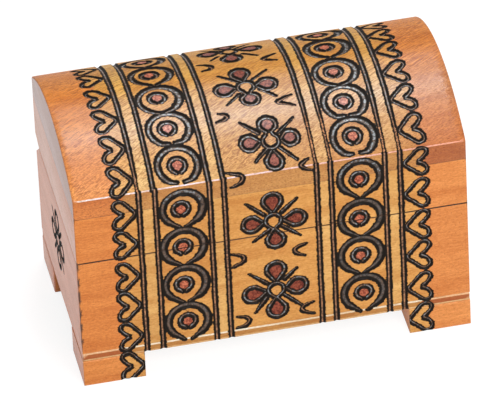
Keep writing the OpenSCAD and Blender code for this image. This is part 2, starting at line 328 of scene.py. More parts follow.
def carve_hearts():
    left_x, up = np.array(HEART).T
    further = np.clip((left_x - RIGHT_REACH_FROM) / RIGHT_REACH_W, 0, 1)
    right_x = chest_l - left_x - RIGHT_REACH * further
    for x, column in ((left_x, LEFT_HEARTS), (right_x, RIGHT_HEARTS)):
        for middle_s, height in column:
            path = np.column_stack([x, middle_s + height * up])
            cut(path, HEART_HALF_W, HEART_TONE, HEART_NOTCH_HALF_W)
            heart_shapes.append(strokes[-1][:, :2])


# Each flower: its middle, the way that its core's point faces, its petals as x, s and outer radius, and
# its rays from tip to inner end with half-widths at both ends, all measured from the middle.
FLOWERS = (
    (
        (80.4, 33.1), -1,
        ((0.1, 10.1, 4.8), (0.1, -9.95, 4.8), (-9.5, -0.7, 4.8), (8.8, 0.6, 4.8)),
        ((-10.8, 10.0, -3.5, 3.8, 0.5, 1.0), (8.8, 9.65, 3.6, 4.85, 0.55, 1.05),
         (-9.0, -10.05, -4.2, -3.5, 0.5, 1.1), (10.5, -10.05, 3.1, -3.0, 0.7, 0.9)),
    ),
    (
        (80.5, 67.7), -1,
        ((-0.2, 9.9, 4.85), (0.65, -9.6, 4.57), (-8.85, -0.25, 4.7), (9.45, -0.2, 4.6)),
        ((-11.1, 10.6, -3.75, 3.8, 0.5, 1.0), (9.85, 9.6, 3.75, 4.0, 0.5, 1.1),
         (-8.35, -8.8, -1.75, -4.05, 0.5, 1.0), (10.85, -9.1, 3.75, -3.3, 0.5, 1.0)),
    ),
    (
        (83.1, 105.8), 1,
        ((0.2, 7.9, 4.5), (-0.3, -9.2, 4.3), (-8.7, 0.3, 4.5), (7.9, 0.2, 4.4)),
        ((-10.45, 10.4, -4.2, 4.4, 0.6, 1.1), (11.0, 9.1, 3.9, 3.3, 0.5, 0.7),
         (-7.9, -8.3, -1.7, -2.8, 0.6, 0.9), (8.6, -9.8, 2.8, -3.4, 0.7, 0.9)),
    ),
    (
        (79.35, 135.9), -1,
        ((-0.75, 9.5, 4.6), (0.3, -7.5, 4.5), (-8.95, -0.3, 4.6), (8.75, -0.2, 4.6)),
        ((-9.35, 9.6, -2.65, 4.0, 0.6, 0.95), (10.25, 9.1, 3.5, 3.75, 0.5, 0.7),
         (-9.65, -9.5, -3.55, -4.2, 0.5, 0.75), (10.55, -8.4, 5.35, -3.1, 0.7, 1.0)),
    ),
    (
        (78.8, 169.2), -1,
        ((0, 9.3, 4.6), (-0.4, -9.2, 4.7), (-8.3, 0.8, 4.6), (9.3, 0, 4.6)),
        ((-9.6, 9.4, -3.4, 3.8, 0.5, 0.9), (9.8, 9.2, 3.5, 3.8, 0.5, 0.9),
         (-8.8, -8.8, -5.3, -5.0, 0.5, 0.65), (9.9, -10.4, 4.9, -5.9, 0.6, 0.9)),
    ),
)
# The flower on each end of the base, about its own middle
END_FLOWER = (
    (0, 0), -1,
    ((0, 9.7, 4.7), (0.1, -9.5, 4.7), (-9.2, -0.4, 4.7), (8.8, 0.3, 4.7)),
    ((-10.2, 9.8, -3.4, 3.6, 0.6, 1.1), (9.2, 9.7, 3.5, 4.1, 0.6, 1.1),
     (-9.1, -9.8, -3.6, -3.7, 0.6, 1.1), (10.0, -9.4, 3.2, -3.1, 0.6, 1.1)),
)
PETAL_HALF_W = 1.12
PETAL_END_HALF_W = 0.85
PETAL_NECK = 4.3
NECK_HALF_GAP = 0.5
PETAL_SPAN = (-118, 118)
# A petal this near to the core, on the side of the core's point, opens into it
OPEN_REACH = 8.2
OPEN_HALF_GAP = 0.95
CORE_R = 3.25
CORE_HALF_W = 0.95
CORE_TIP = 4.5
RAY_SWELL = 0.7
FLOWER_TONE = 0.3


def carve_flower(flower, cx, cs, painted):
    _, point, petal_places, rays = flower
    open_gap = 0
    for px, ps, outer_r in petal_places:
        reach = math.hypot(px, ps)
        neck = NECK_HALF_GAP
        if reach < OPEN_REACH and ps * point > abs(px):
            neck = open_gap = OPEN_HALF_GAP
        loop = arc(reach, 0, outer_r - PETAL_HALF_W, *PETAL_SPAN, 15)
        loop = [(PETAL_NECK, -neck)] + loop + [(PETAL_NECK, neck)]
        turned = np.array(loop) @ np.array([(px, ps), (-ps, px)]) / reach + (cx, cs)
        cut(turned, PETAL_HALF_W, FLOWER_TONE, PETAL_END_HALF_W)
        if painted:
            petals.append(turned)
    core = arc(0, 0, CORE_R, *RING_SPAN, 16)
    core = [(open_gap, -CORE_TIP)] + core + [(-open_gap, -CORE_TIP)]
    cut([(cx + x, cs - point * s) for x, s in core], CORE_HALF_W, FLOWER_TONE)
    for x0, s0, x1, s1, tip_w, inner_w in rays:
        path = [(cx + x0 + (x1 - x0) * f, cs + s0 + (s1 - s0) * f) for f in (0, 0.5, 1)]
        cut(path, (tip_w, tip_w + RAY_SWELL * (inner_w - tip_w), inner_w), FLOWER_TONE)


CURLS = (
    ((63.8, 22.65), (66.6, 22.0), (68.6, 20.6), (68.7, 19.1), (67.1, 17.6), (64.5, 17.0), (63.5, 16.8)),
    ((62.8, 54.2), (65.6, 53.45), (67.6, 52.4), (68.0, 50.9), (67.1, 49.4), (64.8, 48.4), (62.8, 47.6)),
    ((62.8, 94.7), (65.6, 93.9), (68.3, 92.8), (69.1, 91.0), (68.1, 89.2), (65.6, 87.9), (64, 87.6)),
    ((65.2, 122.5), (67.4, 121.9), (68.55, 120.55), (67.2, 119.3), (63.55, 118.2)),
    ((63.85, 157.8), (66.8, 156.9), (68.8, 155.4), (69.1, 153.7), (67.65, 152.2), (64.7, 151.6)),
    ((95.6, 24.2), (92.8, 23.4), (91.1, 22.4), (90.6, 20.9), (92.3, 19.4), (95.6, 18.35)),
    ((93.6, 54), (90.8, 53.2), (88.8, 51.9), (88.9, 50.4), (90.3, 49.2), (92.8, 48.3)),
    ((96.1, 95.5), (94.3, 94.5), (93.1, 93.7), (92.8, 92.7), (94.8, 90.9), (97.6, 89.9)),
    ((95.8, 126.9), (91.9, 125.4), (89.9, 124.2), (91.9, 123.05), (96.3, 121)),
    ((96, 157.9), (93.1, 156.6), (90.75, 155.1), (90.5, 154), (92.5, 152.8), (95.3, 151.6)),
)
CURL_TIP_HALF_W = 0.5
CURL_BEND_HALF_W = 1.05
CURL_TONE = 0.7


def carve_curls():
    for curl in CURLS:
        t = np.linspace(0, math.pi, len(curl))
        cut(curl, CURL_TIP_HALF_W + (CURL_BEND_HALF_W - CURL_TIP_HALF_W) * np.sin(t), CURL_TONE)


def segments_so_far():
    """All strokes as rows of two ends: x, s, half-width and tone of one, then of the other."""
    return np.vstack([np.hstack([rows[:-1], rows[1:]]) for rows in strokes])


# Distance outside the nearest stroke, negative inside it, the stroke's half-width there, the direction
# away from it, and its tone
Nearest = namedtuple("Nearest", "gap half away tone")


def nearest_cut(points, segments):
    count = len(points)
    found = Nearest(np.full(count, REACH), np.ones(count), np.zeros((count, 2)), np.zeros(count))
    order = np.argsort(points[:, 1])
    heights = points[order, 1]
    for x0, s0, w0, tone, x1, s1, w1, _ in segments:
        margin = REACH + max(w0, w1)
        first, last = np.searchsorted(heights, (min(s0, s1) - margin, max(s0, s1) + margin))
        near = order[first:last]
        x = points[near, 0]
        near = near[(x > min(x0, x1) - margin) & (x < max(x0, x1) + margin)]
        if len(near) == 0:
            continue
        offset = points[near] - (x0, s0)
        run = np.array([x1 - x0, s1 - s0])
        t = np.clip(offset @ run / max(run @ run, TINY), 0, 1)
        offset -= t[:, None] * run
        length = np.hypot(*offset.T)
        width = w0 + t * (w1 - w0)
        distance = length - width
        closer = distance < found.gap[near]
        chosen = near[closer]
        found.gap[chosen] = distance[closer]
        found.half[chosen] = width[closer]
        found.away[chosen] = offset[closer] / np.maximum(length[closer], TINY)[:, None]
        found.tone[chosen] = tone
    return found


def wall_of(half):
    return np.minimum(WALL_W, NARROW_WALL * half)


def groove_profile(gap, half):
    """Depth of steep walls and a shallow round floor, and a mark for the materials.

    The mark is the distance outside a groove, 0 to -1 down its wall and -1 to -2 across its floor.
    """
    wall = wall_of(half)
    inside = np.maximum(-gap, 0)
    across = np.clip((inside - wall) / np.maximum(half - wall, TINY), 0, 1)
    sag = FLOOR_SAG * np.minimum(half, WIDEST_SAG)
    depth = np.minimum(inside, wall) + sag * np.sin(across * math.pi / 2)
    return depth, np.where(gap > 0, gap, np.where(inside < wall, -inside / wall, -1 - across))


def snapped(points, segments, held=None):
    """Moves the points nearest to a groove's rim and foot onto them. Held points keep to a direction."""
    points = points.copy()
    to_rim = to_foot = None
    for _ in range(3):
        near = nearest_cut(points, segments)
        to_wall = near.gap + wall_of(near.half)
        if to_rim is None:
            to_rim = np.abs(near.gap) < FINE / 2
            to_foot = ~to_rim & (np.abs(to_wall) < FINE / 2) & (near.half > NO_FOOT_HALF_W)
        miss = np.where(to_rim, near.gap, np.where(to_foot, to_wall, 0))
        step = -miss[:, None] * near.away
        if held is not None:
            along = (near.away * held).sum(1)
            usable = np.abs(along) > LEAST_ACROSS
            step = np.where(usable, -miss / np.where(usable, along, 1), 0)[:, None] * held
        points += np.clip(step, -FINE, FINE)
    return points


def in_polygon(points, polygon):
    """Whether each point lies inside a closed polygon."""
    inside = np.zeros(len(points), bool)
    near = np.nonzero(((points > polygon.min(0)) & (points < polygon.max(0))).all(1))[0]
    x, y = points[near].T
    for (x0, y0), (x1, y1) in zip(polygon, np.roll(polygon, -1, axis=0)):
        if y0 != y1:
            inside[near] ^= ((y0 > y) != (y1 > y)) & (x < (x1 - x0) * (y - y0) / (y1 - y0) + x0)
    return inside


# Stain colours, linear; those marked below also carry painted light and shade. Where there are two, they are
# for the chest's left and right end.
HONEY = ((0.655, 0.297, 0.061), (0.722, 0.336, 0.072))
STRIP = ((0.7, 0.37, 0.1), (0.745, 0.402, 0.108))
ORANGE = ((0.7, 0.226, 0.04), (0.73, 0.253, 0.053))
# Factors of painted light that make the feet lighter than their stain
FOOT_PAINTED_LIGHT = (1.04, 1.1, 1.18)
# A front foot's inner side: its stain made lighter as painted light in its shade
FOOT_INNER_PAINTED_LIGHT = (0.9, 0.36, 0.11)
# Wear along the front ridge with a painted highlight over it, nearly white at the left end, and its
# half-width
RIDGE_WEAR_AND_HIGHLIGHT = ((0.99, 0.96, 0.98), (0.82, 0.32, 0.16))
RIDGE_WEAR_AND_HIGHLIGHT_W = 0.27
RED_DOT = (0.44, 0.096, 0.042)
RED_PETAL = (0.215, 0.035, 0.015)
BAND = (0.425, 0.11, 0.019)
BAND_HONEY = (0.52, 0.23, 0.048)
# Painted highlights on the floor board's top and bottom edges
BAND_EDGE_HIGHLIGHT = (0.84, 0.51, 0.245)
BAND_HONEY_EDGE_HIGHLIGHT = (0.9, 0.77, 0.53)
BAND_FOOT_EDGE_HIGHLIGHT = (0.76, 0.475, 0.2)
EDGE_ORANGE = ((0.73, 0.226, 0.037), (0.475, 0.129, 0.024))
EDGE_HONEY = (0.605, 0.268, 0.058)
# The ends' stain with painted sheen: paler and pinker than the front's, the lid's ends palest
BASE_END_AND_SHEEN = (0.84, 0.32, 0.167)
LID_END_AND_SHEEN = (0.93, 0.485, 0.34)
PLANK_END_AND_SHEEN = (0.66, 0.42, 0.36)
# Dark broken wood in the chips, with painted shadow
CHIP_WOOD_AND_SHADOW = (0.12, 0.045, 0.016)
PAINT_GLOSS = 0.35
FLOOR_BURNT = (0.045, 0.031, 0.021)
FLOOR_BROWN = (0.4, 0.178, 0.073)
BAND_EDGE_H = 0.9
# Painted light and shade on the arch, as factors on its stain: lighter and bluer near the front ridge at the
# left end, darker towards the right end. Distance from the front ridge, then at the left and at the right
# end
ARCH_PAINTED_LIGHT = (
    (0, (1.16, 1.38, 1.72), (0.68, 0.53, 0.4)),
    (14, (1.01, 1.05, 0.97), (0.76, 0.71, 0.67)),
    (28, (0.89, 0.94, 0.96), (0.7, 0.74, 0.92)),
    (45, (1.00, 1.00, 0.87), (0.9, 0.86, 0.68)),
    (57, (1.13, 1.16, 0.8), (0.88, 0.82, 0.55)),
    (70, (0.91, 0.95, 0.74), (0.92, 0.91, 0.62)),
)
# Painted shade between the two middle strips, darkest where the sheen falls: distance from the ridge, then
# one factor on top
MIDDLE_PAINTED_SHADE = ((0, 0.94), (28, 0.9), (57, 1.0))


def from_left_to_right(ends, x):
    left, right = (np.array(end) for end in ends)
    return left + (right - left) * np.clip(x / chest_l, 0, 1)[:, None]


def painted_arch_light(x, s):
    """Factors of painted light and shade on the stain of the arch."""
    at, *ends = zip(*ARCH_PAINTED_LIGHT)
    ends = [np.column_stack([np.interp(s - ridge_z, at, factors) for factors in zip(*end)]) for end in ends]
    return from_left_to_right(ends, x)


def painted(points):
    """1 in the rings' red dots, 2 in the red petals, 0 elsewhere."""
    found = np.zeros(len(points), int)
    for dot in dots:
        found[np.hypot(*(points - dot).T) < DOT_R] = 1
    for petal in petals:
        found[in_polygon(points, petal)] = 2
    return found


def stain_at(points):
    """Stain for each place on the carved skin, with the painted light and shade marked below."""
    x, s = points.T
    colour = from_left_to_right(ORANGE, x)

    def stain(where, colours):
        ends = np.broadcast_to(colours, (2, 3))
        colour[where] = from_left_to_right(ends, x[where])

    honey = (x > HEART_EDGE_X) & (x < chest_l - HEART_EDGE_X)
    for shape in heart_shapes:
        honey |= in_polygon(points, shape)
    stain(honey, HONEY)
    for left, right in ("AB", "CD", "EF", "GH"):
        stain((x > line_x(left, s)) & (x < line_x(right, s)), STRIP)
    on_arch = s > ridge_z
    # Painted light and shade over the arch
    colour[on_arch] *= painted_arch_light(x, s)[on_arch]
    # Painted shade on the arch's middle panel
    in_middle = on_arch & (x > line_x("D", s)) & (x < line_x("E", s))
    colour[in_middle] *= np.interp(s - ridge_z, *zip(*MIDDLE_PAINTED_SHADE))[in_middle, None]
    # Painted light: the feet lighter than their stain
    colour[s < foot_high[2]] *= FOOT_PAINTED_LIGHT
    on_edge = (s > plank_low[2]) & (s < ridge_z)
    stain(on_edge, EDGE_ORANGE)
    stain(on_edge & honey, EDGE_HONEY)
    on_band = (s > floor_low[2] - HAIR) & (s < floor_high[2] + HAIR)
    stain(on_band, BAND)
    stain(on_band & honey, BAND_HONEY)
    # Painted highlights along the floor board's bottom and top edges
    stain(on_band & (s < floor_low[2] + BAND_EDGE_H), BAND_FOOT_EDGE_HIGHLIGHT)
    at_top = on_band & (s > floor_high[2] - BAND_EDGE_H)
    stain(at_top, BAND_EDGE_HIGHLIGHT)
    stain(at_top & honey, BAND_HONEY_EDGE_HIGHLIGHT)
    # Wear and a painted highlight along the front ridge
    stain(np.abs(s - ridge_z) < RIDGE_WEAR_AND_HIGHLIGHT_W, RIDGE_WEAR_AND_HIGHLIGHT)
    paint = painted(points)
    stain(paint == 1, RED_DOT)
    stain(paint == 2, RED_PETAL)
    return colour


def floor_colour(tone):
    return np.array(FLOOR_BURNT) + tone[:, None] * (np.array(FLOOR_BROWN) - np.array(FLOOR_BURNT))


# Building a carved face and the solid behind it

def corners_inset(outline, radii):
    """Corners of a polygon whose edges lie inside the outline's by each edge's rounding."""
    run = np.roll(outline, -1, axis=0) - outline
    normal = np.column_stack([run[:, 1], -run[:, 0]]) / np.hypot(*run.T)[:, None]
    level = (normal * outline).sum(1) - radii
    pairs = [[i - 1, i] for i in range(len(outline))]
    return np.array([np.linalg.solve(normal[pair], level[pair]) for pair in pairs]), normal, level


# Distance between a lattice's rows, as a share of its spacing
ROW_STEP = 0.866


def hex_lattice(low, high, step):
    rows = np.arange(low[1], high[1], step * ROW_STEP)
    columns = np.arange(low[0], high[0], step)
    x, s = np.meshgrid(columns, rows)
    x = x + step / 2 * (np.arange(len(rows)) % 2)[:, None]
    return np.column_stack([x.ravel(), s.ravel()])


# Spacing of vertices on straight edges: every one this near to a groove, and one in so many elsewhere
EDGE_NEAR = 0.8
EDGE_SKIP = 6
LEAST_EDGE = 0.06


def line_points(start, end, segments):
    """Points along a straight line, close together where grooves cross it."""
    start, end = np.array(start, float), np.array(end, float)
    length = np.hypot(*(end - start))
    count = max(2, int(round(length / FINE)))
    points = start + (end - start) * (np.arange(count + 1) / count)[:, None]
    keep = (nearest_cut(points, segments).gap < EDGE_NEAR) | (np.arange(count + 1) % EDGE_SKIP == 0)
    keep[[0, -1]] = True
    moved = snapped(points, segments, np.tile((end - start) / length, (count + 1, 1)))
    moved[[0, -1]] = points[[0, -1]]
    moved = moved[keep]
    moved = moved[np.argsort((moved - start) @ (end - start))]
    far = np.concatenate([[True], np.hypot(*np.diff(moved, axis=0).T) > LEAST_EDGE])
    return moved[far]


def lattice_points(corners, normal, level, segments, bands, chipped):
    """Points inside a polygon but outside the bands, closer together near grooves and chips."""
    def clear(points, margin):
        inside = ((points @ normal.T) < level - margin).all(1)
        for start, end in bands:
            inside &= (points[:, 1] < start - margin) | (points[:, 1] > end + margin)
        return points[inside]

    found = []
    for step, margin, nearest, furthest in LATTICES:
        points = clear(hex_lattice(corners.min(0), corners.max(0), step), margin * step)
        gap = nearest_cut(points, segments).gap
        wanted = (gap > nearest) & (gap < furthest)
        at_chips = near_chips(points) & chipped
        if step == FINE:
            found.append(clear(snapped(points[wanted | at_chips], segments), CLEARANCE))
        else:
            found.append(points[wanted & ~at_chips])
    return np.vstack(found)


def triangulated(vertices, edges):
    """Flat vertices and triangles that all face the same way."""
    found = delaunay_2d_cdt([Vector(v) for v in vertices], edges, [], 0, MERGE)
    flat, triangles = np.array(found[0]), np.array(found[2])
    a, b, c = (flat[triangles[:, i]] for i in range(3))
    area = np.linalg.det(np.stack([b - a, c - a], axis=1))
    real = np.abs(area) > LEAST_TRIANGLE
    triangles, turned = triangles[real], area[real] < 0
    triangles[turned] = triangles[turned][:, ::-1]
    return flat, triangles


def rim_loop(flat, triangles, start):
    """The vertices round the rim of a flat mesh, in order from the one nearest to a point."""
    runs = {(t[i], t[(i + 1) % 3]) for t in triangles.tolist() for i in range(3)}
    following = {a: b for a, b in runs if (b, a) not in runs}
    loop = [min(following, key=lambda i: np.hypot(*(flat[i] - start)))]
    while following[loop[-1]] != loop[0]:
        loop.append(following[loop[-1]])
    return np.array(loop)


def carved_piece(name, outline, radii, segments, place, close, rows=(), bands=(), chipped=False,
                 stain=stain_at, shades=None):
    """A board that is carved on one side, inside an outline that runs anticlockwise in (x, s).

    Rows are values of s that get a line of vertices, and bands are ranges of s with no others.
    Shades are painted shade that darkens each edge's rounding. Close returns the rest of the solid.
    """
    radii = np.array(radii, float)
    shades = np.ones(len(outline)) if shades is None else np.array(shades, float)
    corners, normal, level = corners_inset(np.array(outline, float), radii)

    boundary = np.vstack([
        line_points(start, end, segments)[:-1] for start, end in zip(corners, np.roll(corners, -1, axis=0))
    ])
    vertices = [*boundary]
    edges = [(i, (i + 1) % len(boundary)) for i in range(len(boundary))]
    for s in rows:
        points = line_points((corners[:, 0].min(), s), (corners[:, 0].max(), s), segments)[1:-1]
        edges += [(i, i + 1) for i in range(len(vertices), len(vertices) + len(points) - 1)]
        vertices += [*points]
    vertices += [*lattice_points(corners, normal, level, segments, bands, chipped)]
    flat, triangles = triangulated(vertices, edges)
    loop = rim_loop(flat, triangles, corners[0])

    # Rings of faces over the rounded edges, each rim vertex going out as far as its own edges say
    on_edge = np.abs(flat[loop] @ normal.T - level) < ON_EDGE
    outward = np.array([np.linalg.pinv(normal[its]) @ radii[its] for its in on_edge])
    radius = (on_edge * radii).max(1)
    rim_shade = np.where(on_edge, shades, 1).min(1)
    layers = [(flat, np.zeros(len(flat)), np.ones(len(flat)))]
    faces = triangles.tolist()
    outer = loop
    for k in range(1, ROUNDING_STEPS + 1):
        angle = k / ROUNDING_STEPS * math.pi / 2
        inner = outer
        outer = len(flat) + (k - 1) * len(loop) + np.arange(len(loop))
        layers.append((flat[loop] + outward * math.sin(angle), radius * (1 - math.cos(angle)), rim_shade))
        faces += np.column_stack([inner, outer, np.roll(outer, -1), np.roll(inner, -1)]).tolist()
    points, rounding, shade = (np.concatenate(layer) for layer in zip(*layers))

    near = nearest_cut(points, segments)
    depth, marks = groove_profile(near.gap, near.half)
    marks[(marks < -1) & (near.tone > PALEST_TONE)] = -2
    depth = np.maximum(depth, rounding)
    # Painted shade on the roundings of the seams, darker towards the chest's ends
    far = np.clip((np.abs(points[:, 0] - half_l) - DARK_SEAM_FROM) / DARK_SEAM_FADE, 0, 1)
    colour = stain(points) * (shade ** (1 + (DARK_SEAM_POWER - 1) * far))[:, None]
    # Chips: dark broken wood with painted shadow
    if chipped:
        chip = chip_depth(points)
        colour[chip > LEAST_CHIP] = CHIP_WOOD_AND_SHADOW
        depth = np.maximum(depth, chip)
    in_floor = near.gap < -FLOOR_FROM * wall_of(near.half)
    colour[in_floor] = floor_colour(near.tone[in_floor])
    gloss = np.where((painted(points) > 0) & (near.gap > 0) & (stain is stain_at), PAINT_GLOSS, 1.0)

    # The outermost vertices of each edge of the outline, from one corner to the next
    corner_at = np.nonzero(on_edge.sum(1) == 2)[0]
    corner_at = sorted(corner_at, key=lambda i: np.hypot(*(corners - flat[loop[i]]).T).argmin())
    sides = []
    for start, end in zip(corner_at, np.roll(corner_at, -1)):
        length = (end - start - 1) % len(loop) + 2
        sides.append(np.roll(outer, -start)[:length].tolist())
    back_points, back_faces, plain = close(sides, len(points))
    solid = np.vstack([place(*points.T, depth), back_points])
    back_looks = np.tile((*ORANGE[0], 1, REACH), (len(back_points), 1))
    looks = np.vstack([np.column_stack([colour, gloss, marks]), back_looks]).astype(np.float32)

    mesh = bpy.data.meshes.new(name)
    mesh.from_pydata((solid * MM).tolist(), [], faces + back_faces)
    mesh.attributes.new("cut", "FLOAT", "POINT").data.foreach_set("value", looks[:, 4].copy())
    mesh.attributes.new("stain", "FLOAT_COLOR", "POINT").data.foreach_set("color", looks[:, :4].ravel())
    mesh.polygons.foreach_set("material_index", [0] * len(faces) + plain)
    mesh.polygons.foreach_set("use_smooth", [True] * len(faces) + [False] * len(back_faces))
    mesh.set_sharp_from_angle(angle=SHARP)
    mesh.validate()
    return add_object(name, mesh)


def flat_place(origin, right=(1, 0, 0)):
    """Places on an upright face that runs along right, with depth going in."""
    right, up = np.array(right, float), np.array((0, 0, 1.0))
    inward = -np.cross(right, up)

    def place(x, s, depth):
        return np.array(origin) + np.outer(x, right) + np.outer(s, up) + np.outer(depth, inward)

    return place


LEAN_W = 3.0


def plank_place(x, s, depth):
    """Places on the plank's skin, sunk along a normal that turns gently over the two ridges."""
    middle = (ridge_z + back_ridge_s) / 2
    behind = s > middle
    s = np.where(behind, 2 * middle - s, s)
    u = s - ridge_z
    angle = -arch_half_angle + u / arch_r
    y = np.where(u < 0, -half_d, arch_r * np.sin(angle))
    z = np.where(u < 0, s, plank_high[2] - arch_r + arch_r * np.cos(angle))
    a = ridge_turn * np.clip((u + ridge_reach) / (2 * ridge_reach), 0, 1)
    on_ridge = np.abs(u) < ridge_reach
    y = np.where(on_ridge, -half_d + RIDGE_R - RIDGE_R * np.cos(a), y)
    z = np.where(on_ridge, ridge_z - ridge_reach + RIDGE_R * np.sin(a), z)
    t = np.clip(u / LEAN_W + 0.5, 0, 1)
    lean = t * t * (3 - 2 * t) * (ridge_turn + np.maximum(u, 0) / arch_r)
    y = y + depth * np.cos(lean)
    z = z - depth * np.sin(lean)
    return np.column_stack([x - half_l, np.where(behind, -y, y), z])


# Places of a piece's further materials: unfinished wood, ends, and a front foot's inner side
RAW = 1
ENDS = 2
INNER = 3


def close_board(low, high):
    """Closes a front board, which laps over the end boards with a step at each end."""
    lap, back = low[1] + corner_lap, low[1] + board_t
    inside = half_l - board_t
    plan = [(half_l, lap), (inside, lap), (inside, back), (-inside, back), (-inside, lap), (-half_l, lap)]

    def close(sides, start):
        bottom, right, top, left = sides
        count = len(plan)
        points = [(x, y, z) for z in (low[2], high[2]) for x, y in plan]
        under = [start + i for i in range(count)]
        over = [start + count + i for i in range(count)]
        outer = [bottom + under, top + over[::-1], right + [over[0], under[0]], left + [under[-1], over[-1]]]
        behind = [[under[i], over[i], over[i + 1], under[i + 1]] for i in range(count - 1)]
        plain = [RAW, RAW, ENDS, ENDS] + [RAW] * len(behind)
        return np.array(points), [face[::-1] for face in outer] + behind, plain

    return close


def close_prism(inner, plain_sides, inner_plain):
    """Closes a board by walls from its carved outline straight back to the inner corners."""
    def close(sides, start):
        count = len(sides)
        faces = [(side + [start + (i + 1) % count, start + i])[::-1] for i, side in enumerate(sides)]
        faces.append([start + i for i in range(count)][::-1])
        return np.array(inner, float), faces, [*plain_sides, inner_plain]

    return close


def close_plank(sides, start):
    """The top plank's two ends and its flat underside."""
    front, right, back, left = sides
    faces = [right[::-1], left[::-1], (front + back)[::-1]]
    return np.zeros((0, 3)), faces, [ENDS, ENDS, RAW]


# The wooden pieces

def finish_piece(obj, node, body, materials):
    for material in materials:
        obj.data.materials.append(material)
    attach(obj, body)
    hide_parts(node)


# Chips broken out of the front board's left arris: shares, seeds and waves of their noise
CHIP_NOISE = ((0.36, 71, 7.5), (0.34, 72, 2.3), (0.24, 73, 0.9))
CHIP_MEAN = 0.48
CHIP_SIZES = (0.16, 1.0)
# They fade out over this range above the floor board, and need fine vertices over this width
CHIP_FADE = (0.5, 2.0)
CHIP_ZONE_W = 1.25
LEAST_CHIP = 0.02


def chip_depth(points):
    x, s = points.T
    size = CHIP_MEAN + sum(share * wobble(s, seed, wave) for share, seed, wave in CHIP_NOISE)
    size = np.clip(size, *CHIP_SIZES) * np.interp(s - floor_high[2], CHIP_FADE, (0, 1))
    return np.maximum(size - x, 0)


def near_chips(points):
    return (points[:, 0] < CHIP_ZONE_W) & (points[:, 1] > floor_high[2])


# Roundings of the bottom, right, top and left edges
FLOOR_ARRISES = (0.45, 0.3, 0.7, 0.3)
FOOT_ARRISES = (0.3, 0.4, 0.65, 0.4)
# Rows of vertices at the floor board's two edges, where the painted highlights lie
BAND_EDGE_BLUR = (-0.1, 0.15)
floor_rows = [floor_low[2] + BAND_EDGE_H + u for u in BAND_EDGE_BLUR]
floor_rows += [floor_high[2] - BAND_EDGE_H - u for u in BAND_EDGE_BLUR[::-1]]


def make_front_piece(name, node, body, slot, radii, materials, plain_sides=None, **options):
    """A piece carved on the front: a block if it has plain sides, otherwise a lapped board."""
    low, high = box_mm(node)
    x0, z0, x1, z1 = low[0] + half_l, low[2], high[0] + half_l, high[2]
    outline = [(x0, z0), (x1, z0), (x1, z1), (x0, z1)]
    close = close_board(low, high)
    if plain_sides:
        close = close_prism([(x - half_l, high[1], z) for x, z in outline], plain_sides, 0)
    place = flat_place((-half_l, low[1], 0))
    obj = carved_piece(name, outline, radii, chest_segments, place, close, **options)
    finish_piece(obj, node, body, materials)


def make_plank(materials):
    ends = ridge_reach + RIDGE_EDGE
    offsets = [-ends, *np.linspace(-ridge_reach, ridge_reach, 6), ends]
    ridges = (ridge_z, back_ridge_s)
    outline = [(0, plank_low[2]), (chest_l, plank_low[2]), (chest_l, plank_back_s), (0, plank_back_s)]
    obj = carved_piece(
        "carved_top_plank", outline, (SEAM_R, ARRIS_R, SEAM_R, ARRIS_R), chest_segments, plank_place,
        close_plank, [s + u for s in ridges for u in offsets], [(s - ends, s + ends) for s in ridges],
        shades=(SEAM_SHADE, 1, SEAM_SHADE, 1),
    )
    finish_piece(obj, "lid_top_plank", "lid", materials)


# The base ends' stain with its painted sheen
def base_end_stain_and_sheen(points):
    return np.tile(BASE_END_AND_SHEEN, (len(points), 1))


def end_outline(node, side):
    """Outline of an end board as it is seen from outside, with the back groove's bevel."""
    points = points_mm(node)
    low, high = box_mm(node)
    top_back = points[points[:, 2] > high[2] - HAIR, 1].max()
    bevel_z = points[points[:, 1] > high[1] - HAIR, 2].max()
    corners = [
        (low[1], low[2]), (high[1], low[2]), (high[1], bevel_z), (top_back, high[2]), (low[1], high[2]),
    ]
    return corners if side > 0 else [(-y, z) for y, z in corners[:1] + corners[:0:-1]]


END_FLOWER_FROM_FRONT = 45
END_FLOWER_Z = 41


def end_segments(side):
    """The strokes of the flower on an end of the base."""
    strokes.clear()
    carve_flower(END_FLOWER, side * (END_FLOWER_FROM_FRONT - half_d), END_FLOWER_Z, painted=False)
    return segments_so_far()


def make_base_end(node, materials):
    low, high = box_mm(node)
    side = 1 if high[0] > 0 else -1
    outer_x, inner_x = (high[0], low[0]) if side > 0 else (low[0], high[0])
    outline = end_outline(node, side)
    top = max(z for _, z in outline)
    plain_sides = [
        RAW if z == z_next == top else 0
        for (_, z), (_, z_next) in zip(outline, outline[1:] + outline[:1])
    ]
    obj = carved_piece(
        "carved_" + node, outline, [SEAM_R] * len(outline), end_segments(side),
        flat_place((outer_x, 0, 0), (0, side, 0)),
        close_prism([(inner_x, side * u, z) for u, z in outline], plain_sides, RAW), stain=base_end_stain_and_sheen,
    )
    finish_piece(obj, node, "base", materials)


# Arrises of the plain boards
PLAIN_ARRIS = 0.3
BACK_FOOT_ARRIS = 0.5
SHORTEST_ARRIS = 4
ARRIS_ANGLE = math.radians(40)
# A face whose middle is this near to the chest's side lies on it
NEAR_SIDE = 0.5


def shows_outside(polygon):
    """Whether a face of a back board or lid end can be seen with the lid shut."""
    centre = polygon.center / MM
    bevel = polygon.normal.y > 0.3 and abs(polygon.normal.z) > 0.3
    at_side = abs(abs(centre.x) - half_l) < NEAR_SIDE or abs(abs(centre.y) - half_d) < NEAR_SIDE
    return at_side or bevel


def above_ground(polygon):
    return polygon.normal.z > -0.5


def is_arris(edge):
    if edge.calc_length() < SHORTEST_ARRIS * MM or len(edge.link_faces) != 2:
        return False
    return edge.calc_face_angle(0) > ARRIS_ANGLE


